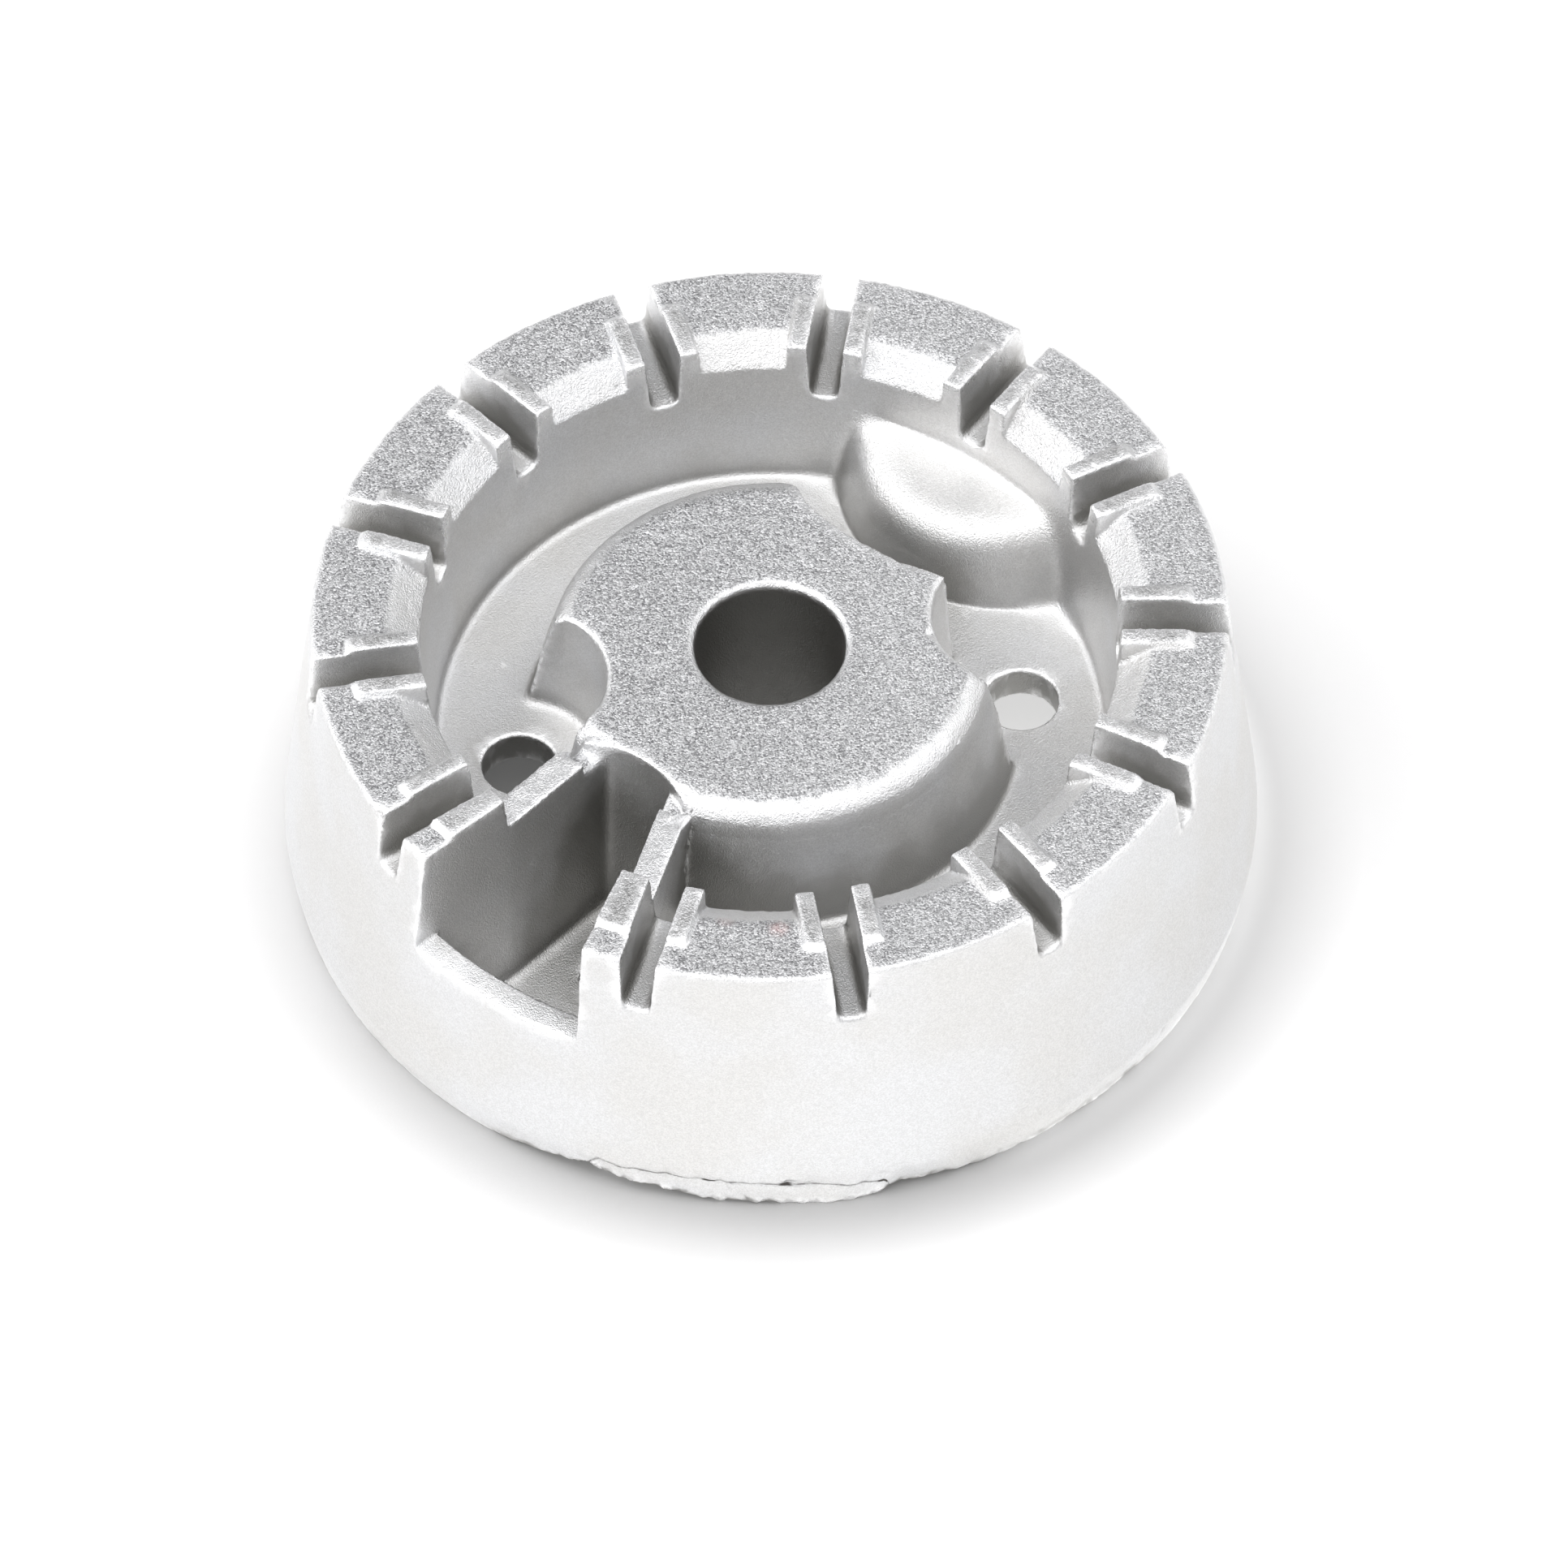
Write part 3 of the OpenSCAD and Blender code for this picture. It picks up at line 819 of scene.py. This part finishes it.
class NodeSheet:
    """Short way to add and join nodes in one node tree."""

    def __init__(self, tree: bpy.types.NodeTree) -> None:
        """Keep the tree.

        Args:
            tree: Node tree to fill.
        """
        self.tree = tree

    def add(self, kind: str, inputs: dict | None = None, **settings: object) -> Node:
        """Add a node, set it up and join its inputs.

        Args:
            kind: Node type.
            inputs: Value or socket for each input, by its name or number.
            settings: Properties of the node.

        Returns:
            The new node.
        """
        node = self.tree.nodes.new(kind)
        for name, value in settings.items():
            setattr(node, name, value)
        for name, value in (inputs or {}).items():
            if isinstance(value, Socket):
                self.tree.links.new(value, node.inputs[name])
            else:
                node.inputs[name].default_value = value
        return node

    def math(self, operation: str, *values: float | Socket) -> Socket:
        """Add a math node.

        Args:
            operation: What it does.
            values: Its inputs in order.

        Returns:
            The result's socket.
        """
        return self.add("ShaderNodeMath", dict(enumerate(values)), operation=operation).outputs[0]

    def ramp(self, value: Socket, low: float, high: float, start: float = 0.0,
             end: float = 1.0) -> Socket:
        """Ease a value from one range to another.

        Args:
            value: Value to ease.
            low: Value that gives start.
            high: Value that gives end.
            start: Result at low.
            end: Result at high.

        Returns:
            The result's socket.
        """
        inputs = {"Value": value, "From Min": low, "From Max": high, "To Min": start, "To Max": end}
        node = self.add("ShaderNodeMapRange", inputs, interpolation_type="SMOOTHSTEP")
        return node.outputs["Result"]

    def mix(self, share: float | Socket, first: object, second: object) -> Socket:
        """Mix two colours.

        Args:
            share: Share of the second colour.
            first: Colour or socket.
            second: Colour or socket.

        Returns:
            The mixed colour's socket.
        """
        node = self.add("ShaderNodeMix", {0: share, 6: first, 7: second}, data_type="RGBA")
        return node.outputs[2]


class Effect:
    """Shader node group that is built once and placed in a material with its own values."""

    name: str = "effect"
    takes: tuple[tuple[str, str, float], ...] = ()
    gives: tuple[str, ...] = ()

    def fill(self, sheet: NodeSheet, inner: Node, outer: Node) -> None:
        """Add the group's nodes.

        Args:
            sheet: Sheet of the group's tree.
            inner: The group's input node.
            outer: The group's output node.
        """
        raise NotImplementedError

    def tree(self) -> bpy.types.NodeTree:
        """Find or build the group's tree.

        Returns:
            The group's tree.
        """
        if self.name in bpy.data.node_groups:
            return bpy.data.node_groups[self.name]
        tree = bpy.data.node_groups.new(self.name, "ShaderNodeTree")
        for name, kind, value in self.takes:
            socket = tree.interface.new_socket(name, in_out="INPUT", socket_type=kind)
            if kind == "NodeSocketFloat":
                socket.default_value = value
        for name in self.gives:
            tree.interface.new_socket(name, in_out="OUTPUT", socket_type="NodeSocketFloat")
        sheet = NodeSheet(tree)
        self.fill(sheet, sheet.add("NodeGroupInput"), sheet.add("NodeGroupOutput"))
        return tree

    def place(self, sheet: NodeSheet, inputs: dict) -> Node:
        """Place the group in a material.

        Args:
            sheet: Sheet of the material's tree.
            inputs: Value or socket for each input.

        Returns:
            The group's node.
        """
        node = sheet.tree.nodes.new("ShaderNodeGroup")
        node.node_tree = self.tree()
        for name, value in inputs.items():
            if isinstance(value, Socket):
                sheet.tree.links.new(value, node.inputs[name])
            else:
                node.inputs[name].default_value = value
        return node


class SandGrain(Effect):
    """Blasted or cast grain: a height, and flecks that are lighter or darker."""

    name = "sand_grain"
    takes = (
        ("Place", "NodeSocketVector", 0.0),
        ("Grain Scale", "NodeSocketFloat", 4000.0),
        ("Depth", "NodeSocketFloat", 1.0),
    )
    gives = ("Height", "Fleck")

    def fill(self, sheet: NodeSheet, inner: Node, outer: Node) -> None:
        """Add the group's nodes.

        Args:
            sheet: Sheet of the group's tree.
            inner: The group's input node.
            outer: The group's output node.
        """
        place, scale = inner.outputs["Place"], inner.outputs["Grain Scale"]
        coarse = sheet.add("ShaderNodeTexNoise", {
            "Vector": place, "Scale": scale, "Detail": 3.0, "Roughness": 0.65})
        finer = sheet.math("MULTIPLY", scale, 1.7)
        crystal = sheet.add("ShaderNodeTexVoronoi", {"Vector": place, "Scale": finer})
        fleck = sheet.add("ShaderNodeSeparateColor", {"Color": crystal.outputs["Color"]})
        bumps = sheet.math("ADD", coarse.outputs["Fac"],
                           sheet.math("MULTIPLY", crystal.outputs["Distance"], -0.35))
        height = sheet.math("MULTIPLY", bumps, inner.outputs["Depth"])
        sheet.tree.links.new(height, outer.inputs["Height"])
        sheet.tree.links.new(fleck.outputs[0], outer.inputs["Fleck"])


class EdgeWearAndHighlight(Effect):
    """Brighter, smoother metal along edges, broken up by a noise: partly real wear, partly painted
    highlight.
    """

    name = "edge_wear_and_highlight"
    takes = (
        ("Place", "NodeSocketVector", 0.0),
        ("Edge", "NodeSocketFloat", 0.0),
        ("Break-up Scale", "NodeSocketFloat", 2500.0),
        ("Amount", "NodeSocketFloat", 1.0),
    )
    gives = ("Mask", "Broken")

    def fill(self, sheet: NodeSheet, inner: Node, outer: Node) -> None:
        """Add the group's nodes.

        Args:
            sheet: Sheet of the group's tree.
            inner: The group's input node.
            outer: The group's output node.
        """
        noise = sheet.add("ShaderNodeTexNoise", {
            "Vector": inner.outputs["Place"], "Scale": inner.outputs["Break-up Scale"], "Detail": 2.0})
        broken = sheet.ramp(noise.outputs["Fac"], 0.25, 0.6, 0.35, 1.0)
        mask = sheet.math("MULTIPLY", inner.outputs["Edge"], broken)
        mask = sheet.math("MULTIPLY", mask, inner.outputs["Amount"])
        sheet.tree.links.new(mask, outer.inputs["Mask"])
        sheet.tree.links.new(broken, outer.inputs["Broken"])


@dataclass(frozen=True)
class CastAluminium:
    """Bare die-cast aluminium: smooth in its recesses, sandy on its upper faces, with painted shade in
    its recesses, painted light toward the right of its sandy tops, and edges lightened by wear and by
    painted highlight.
    """

    wall_warm: tuple[float, float, float, float] = (0.81, 0.805, 0.795, 1.0)
    wall_cool: tuple[float, float, float, float] = (0.845, 0.85, 0.86, 1.0)
    # Dark tone: random flecks and dull rib tops, and painted shade in the recesses.
    dark_tone_and_painted_shade: tuple[float, float, float, float] = (0.41, 0.405, 0.39, 1.0)
    sand_dark: tuple[float, float, float, float] = (0.22, 0.22, 0.225, 1.0)
    sand_light: tuple[float, float, float, float] = (0.84, 0.84, 0.845, 1.0)
    # Light colour for edges, partly real wear and partly painted highlight, and for the painted light on
    # the right of the sandy tops.
    wear_and_painted_light: tuple[float, float, float, float] = (0.97, 0.97, 0.97, 1.0)
    grime: tuple[float, float, float, float] = (0.09, 0.085, 0.08, 1.0)
    crevices: tuple[tuple[float, float, float], ...] = (
        (-3.8 * MM, -29.2 * MM, 1.8 * MM), (2.2 * MM, -29.3 * MM, 1.3 * MM),
        (-8.3 * MM, -28.2 * MM, 2.1 * MM))
    stain: tuple[float, float, float, float] = (0.70, 0.38, 0.36, 1.0)
    stains: tuple[tuple[float, float, float], ...] = (
        (-3.2 * MM, -23.3 * MM, 19.2 * MM), (-6.2 * MM, -22.1 * MM, 19.6 * MM))
    wall_roughness: float = 0.34
    sand_roughness: float = 0.34
    edge_roughness: float = 0.26

    def material(self) -> bpy.types.Material:
        """Build the casting's material.

        Returns:
            The material.
        """
        made = bpy.data.materials.new("cast_aluminium")
        made.use_nodes = True
        sheet = NodeSheet(made.node_tree)
        sheet.tree.nodes.clear()
        place = sheet.add("ShaderNodeTexCoord").outputs["Object"]
        marks = {mark: sheet.add("ShaderNodeAttribute", attribute_name=mark.value).outputs["Fac"]
                 for mark in Mark}
        sand = SandGrain().place(sheet, {"Place": place, "Grain Scale": 6000.0})
        matte = SandGrain().place(sheet, {"Place": place, "Grain Scale": 8000.0})
        # Edge lightening: partly real wear, partly painted highlight on rounded edges.
        wear_and_highlight = EdgeWearAndHighlight().place(sheet, {"Place": place, "Edge": marks[Mark.EDGE]})
        wear_and_painted_light = wear_and_highlight.outputs["Mask"]
        cloud = sheet.add("ShaderNodeTexNoise", {"Vector": place, "Scale": 130.0, "Detail": 4.0})
        wall = sheet.mix(sheet.ramp(cloud.outputs["Fac"], 0.35, 0.65), self.wall_warm, self.wall_cool)
        wall = sheet.mix(sheet.math("MULTIPLY", matte.outputs["Fleck"], 0.30), wall, self.dark_tone_and_painted_shade)
        # Painted shade: the wall colour darkens toward the dark tone where the casting is closed in
        # (shelter mark), fully in the bore.
        closed = sheet.ramp(marks[Mark.SHELTER], 0.12, 0.38)
        wall = sheet.mix(closed, wall, self.dark_tone_and_painted_shade)
        sand_colour = sheet.mix(sand.outputs["Fleck"], self.sand_dark, self.sand_light)
        # Painted light: the sandy tops grow paler toward +x, the right side.
        across = sheet.add("ShaderNodeSeparateXYZ", {0: place}).outputs["X"]
        painted_light_right = sheet.ramp(across, -4.0 * MM, 12.0 * MM, 0.0, 0.10)
        sand_colour = sheet.mix(painted_light_right, sand_colour, self.wear_and_painted_light)
        colour = sheet.mix(marks[Mark.LEVEL], wall, sand_colour)
        colour = sheet.mix(sheet.math("MULTIPLY", marks[Mark.RIB], 0.40), colour, self.dark_tone_and_painted_shade)
        # Painted highlight: the low wall tops, the lip, the rib ends, the chamfers and the hub's rim are
        # lightened in colour.
        bright = sheet.math("MULTIPLY", marks[Mark.PAINTED_HIGHLIGHT], 0.75)
        wear_and_painted_light = sheet.math("MAXIMUM", wear_and_painted_light, bright)
        colour = sheet.mix(wear_and_painted_light, colour, self.wear_and_painted_light)
        off_seam = sheet.math("ABSOLUTE", marks[Mark.SEAM])
        seam = sheet.math("MULTIPLY", sheet.ramp(off_seam, 0.02, 0.09, 0.75, 0.0), wear_and_highlight.outputs["Broken"])
        for crevice in self.crevices:
            away = sheet.add("ShaderNodeVectorMath", {0: place, 1: crevice}, operation="DISTANCE")
            gap = sheet.math("MULTIPLY", sheet.ramp(away.outputs["Value"], 0.35 * MM, 0.6 * MM, 1.0, 0.0),
                             sheet.ramp(off_seam, 0.07, 0.14, 1.0, 0.0))
            seam = sheet.math("MAXIMUM", seam, gap)
        colour = sheet.mix(seam, colour, self.grime)
        for stain in self.stains:
            away = sheet.add("ShaderNodeVectorMath", {0: place, 1: stain}, operation="DISTANCE")
            faint = sheet.ramp(away.outputs["Value"], 0.1 * MM, 0.9 * MM, 0.35, 0.0)
            faint = sheet.math("MULTIPLY", faint, wear_and_highlight.outputs["Broken"])
            colour = sheet.mix(faint, colour, self.stain)
        rough = sheet.add("ShaderNodeMix", {
            0: marks[Mark.SAND], 2: self.wall_roughness, 3: self.sand_roughness}, data_type="FLOAT")
        rough = sheet.add("ShaderNodeMix", {
            0: wear_and_painted_light, 2: rough.outputs[0], 3: self.edge_roughness}, data_type="FLOAT")
        depth = sheet.ramp(marks[Mark.SAND], 0.0, 1.0, 0.020 * MM, 0.090 * MM)
        depth = sheet.math("MULTIPLY", depth, sheet.ramp(wear_and_painted_light, 0.0, 1.0, 1.0, 0.45))
        height = sheet.math("MULTIPLY", sand.outputs["Height"], depth)
        height = sheet.math("ADD", height, sheet.math("MULTIPLY", matte.outputs["Height"], 0.034 * MM))
        bump = sheet.add("ShaderNodeBump", {"Height": height, "Strength": 1.0, "Distance": 1.0})
        shader = sheet.add("ShaderNodeBsdfPrincipled", {
            "Base Color": colour, "Metallic": 1.0, "Roughness": rough.outputs[0],
            "Normal": bump.outputs["Normal"]})
        sheet.add("ShaderNodeOutputMaterial", {"Surface": shader.outputs[0]})
        return made


@dataclass(frozen=True)
class WhiteTable:
    """Matte white table top that keeps the object's shadow, with a painted shadow by the casting's foot
    and a painted glow under the casting.
    """

    white: tuple[float, float, float, float] = (0.84, 0.837, 0.827, 1.0)
    lift: float = 0.06
    lift_from: float = 28.0 * MM
    lift_to: float = 31.0 * MM
    # Painted glow under the casting: strong on the right, where the table shows through the right screw
    # hole, faint on the left.
    painted_glow_right: float = 0.60
    painted_glow_left: float = 0.08
    painted_shadow: float = 0.10
    painted_shadow_reach: float = 6.8 * MM
    # Direction of the painted shadow: the table darkens where the casting blocks this direction.
    light_from: tuple[float, float, float] = (0.0, 0.92, 0.39)
    side: float = 6.0

    def material(self) -> bpy.types.Material:
        """Build the table's material, a little lighter where the camera or metal sees it, with a painted
        shadow by the foot and a painted glow under the casting.

        Returns:
            The material.
        """
        made = bpy.data.materials.new("white_table")
        made.use_nodes = True
        sheet = NodeSheet(made.node_tree)
        sheet.tree.nodes.clear()
        rays = sheet.add("ShaderNodeLightPath").outputs
        seen = sheet.math("MAXIMUM", rays["Is Camera Ray"], rays["Is Glossy Ray"])
        seen = sheet.math("MAXIMUM", seen, rays["Is Transmission Ray"])
        place = sheet.add("ShaderNodeTexCoord").outputs["Object"]
        radius = sheet.add("ShaderNodeVectorMath", {0: place}, operation="LENGTH").outputs["Value"]
        across = sheet.add("ShaderNodeSeparateXYZ", {0: place}).outputs["X"]
        # Painted light: under the casting the table gives off light, most on the right (+x).
        under = sheet.ramp(across, 7.0 * MM, 13.0 * MM, self.painted_glow_left, self.painted_glow_right)
        clear = sheet.ramp(radius, self.lift_from, self.lift_to)
        lift = sheet.add("ShaderNodeMix", {0: clear, 2: under, 3: self.lift}, data_type="FLOAT")
        # Painted shadow: near the casting's foot the table's colour and glow darken, for camera rays
        # only, by ambient occlusion leaning toward light_from; none under the casting.
        lean = sheet.add("ShaderNodeCombineXYZ", dict(enumerate(self.light_from))).outputs[0]
        near = sheet.add("ShaderNodeAmbientOcclusion", {
            "Distance": self.painted_shadow_reach, "Normal": lean}, samples=2)
        light = sheet.ramp(near.outputs["AO"], 0.36, 0.60, self.painted_shadow, 1.0)
        light = sheet.math("MAXIMUM", light, sheet.math("SUBTRACT", 1.0, rays["Is Camera Ray"]))
        light = sheet.math("MAXIMUM", light, sheet.ramp(radius, 26.0 * MM, 27.0 * MM, 1.0, 0.0))
        white = sheet.mix(light, (0.0, 0.0, 0.0, 1.0), self.white)
        glow = sheet.math("MULTIPLY", sheet.math("MULTIPLY", seen, lift.outputs[0]), light)
        shader = sheet.add("ShaderNodeBsdfPrincipled", {
            "Base Color": white, "Roughness": 0.9, "Specular IOR Level": 0.0,
            "Emission Color": (1.0, 1.0, 1.0, 1.0), "Emission Strength": glow})
        sheet.add("ShaderNodeOutputMaterial", {"Surface": shader.outputs[0]})
        return made

    def build(self) -> bpy.types.Object:
        """Lay the table top under the casting.

        Returns:
            The table top.
        """
        half = self.side / 2
        corners = [(-half, -half, 0.0), (half, -half, 0.0), (half, half, 0.0), (-half, half, 0.0)]
        mesh = bpy.data.meshes.new("table_top")
        mesh.from_pydata(corners, [], [(0, 1, 2, 3)])
        mesh.materials.append(self.material())
        top = bpy.data.objects.new("table_top", mesh)
        bpy.context.scene.collection.objects.link(top)
        return top


@dataclass
class Studio:
    """Pale surroundings: softboxes overhead and at the sides, and a grey gap high up at the back."""

    bounds: tuple[float, ...] = (12.0, 36.0, 58.0, 80.0, 102.0, 124.0, 148.0)
    levels: tuple[float, ...] = (1.4, 0.45, 0.08, 0.96, 2.4, 2.05, 0.45, 0.8)
    blend: float = 8.0
    side_low: float = 0.2
    left_high: float = 2.7
    right_high: float = 1.5
    tint: tuple[float, float, float, float] = (0.985, 0.985, 1.0, 1.0)

    def arch(self, sheet: NodeSheet, back: Socket, up: Socket) -> Socket:
        """Light along the arch from the back, over the top, to the front.

        Args:
            sheet: Sheet of the world's tree.
            back: How far a direction points to the back.
            up: How far it points up.

        Returns:
            The strength's socket.
        """
        angle = sheet.math("ARCTAN2", up, back)
        light: float | Socket = self.levels[0]
        for bound, last, level in zip(self.bounds, self.levels, self.levels[1:]):
            ends = [math.radians(bound + turn) for turn in (-self.blend, self.blend)]
            light = sheet.math("ADD", sheet.ramp(angle, *ends, 0.0, level - last), light)
        return light

    def world(self) -> None:
        """Build the surroundings."""
        world = bpy.data.worlds.new("studio")
        world.use_nodes = True
        bpy.context.scene.world = world
        sheet = NodeSheet(world.node_tree)
        sheet.tree.nodes.clear()
        way = sheet.add("ShaderNodeTexCoord").outputs["Generated"]
        parts = sheet.add("ShaderNodeSeparateXYZ", {0: way}).outputs
        high = sheet.ramp(parts["X"], -0.2, 0.2, self.left_high, self.right_high)
        rise = sheet.ramp(parts["Z"], 0.2, 0.35)
        beside = sheet.add("ShaderNodeMix", {0: rise, 2: self.side_low, 3: high}, data_type="FLOAT")
        aside = sheet.ramp(sheet.math("ABSOLUTE", parts["X"]), 0.35, 0.75)
        arch = self.arch(sheet, parts["Y"], parts["Z"])
        light = sheet.add("ShaderNodeMix", {0: aside, 2: arch, 3: beside.outputs[0]}, data_type="FLOAT")
        lit = sheet.add("ShaderNodeBackground", {"Color": self.tint, "Strength": light.outputs[0]})
        plain = sheet.add("ShaderNodeBackground", {"Color": (1.0, 1.0, 1.0, 1.0), "Strength": 1.0})
        seen = sheet.add("ShaderNodeLightPath").outputs["Is Camera Ray"]
        both = sheet.add("ShaderNodeMixShader", {0: seen, 1: lit.outputs[0], 2: plain.outputs[0]})
        sheet.add("ShaderNodeOutputWorld", {"Surface": both.outputs[0]})

    def build(self) -> None:
        """Light the scene and lay the table."""
        self.world()
        WhiteTable().build()


@dataclass
class ViewPoint:
    """The camera at the photograph's place, fitted to the ring, the foot, the hub and the bore."""

    place: tuple[float, float, float] = (-154.45 * MM, -996.24 * MM, 1252.62 * MM)
    forward: tuple[float, float, float] = (0.0967, 0.6206, -0.7781)
    right: tuple[float, float, float] = (0.98807, -0.15402, 0.0)
    roll: float = math.radians(0.39)
    focal_pixels: float = 32764.76
    sensor: float = 36.0

    def build(self) -> bpy.types.Object:
        """Set up the camera.

        Returns:
            The camera.
        """
        data = bpy.data.cameras.new("camera")
        data.sensor_width = self.sensor
        data.lens = self.focal_pixels / PHOTO_SIDE * self.sensor
        data.clip_start = 0.05
        data.clip_end = 50.0
        forward = Vector(self.forward).normalized()
        right = Vector(self.right).normalized()
        down = forward.cross(right)
        right_rolled = right * math.cos(self.roll) + down * math.sin(self.roll)
        up = forward.cross(right_rolled) * -1.0
        turn = Matrix((right_rolled, up, -forward)).transposed().to_4x4()
        camera = bpy.data.objects.new("camera", data)
        bpy.context.scene.collection.objects.link(camera)
        camera.matrix_world = Matrix.Translation(Vector(self.place)) @ turn
        bpy.context.scene.camera = camera
        return camera


def main() -> None:
    """Build the scene in order and log the casting's triangle count."""
    logging.basicConfig(level=logging.INFO, format="%(name)s: %(message)s")
    bpy.context.scene.view_settings.view_transform = "Standard"
    ViewPoint().build()
    Studio().build()
    piece = BurnerBody().build()
    LOG.info("%s has %d triangles", piece.name, len(piece.data.polygons))


if __name__ == "__main__":
    main()
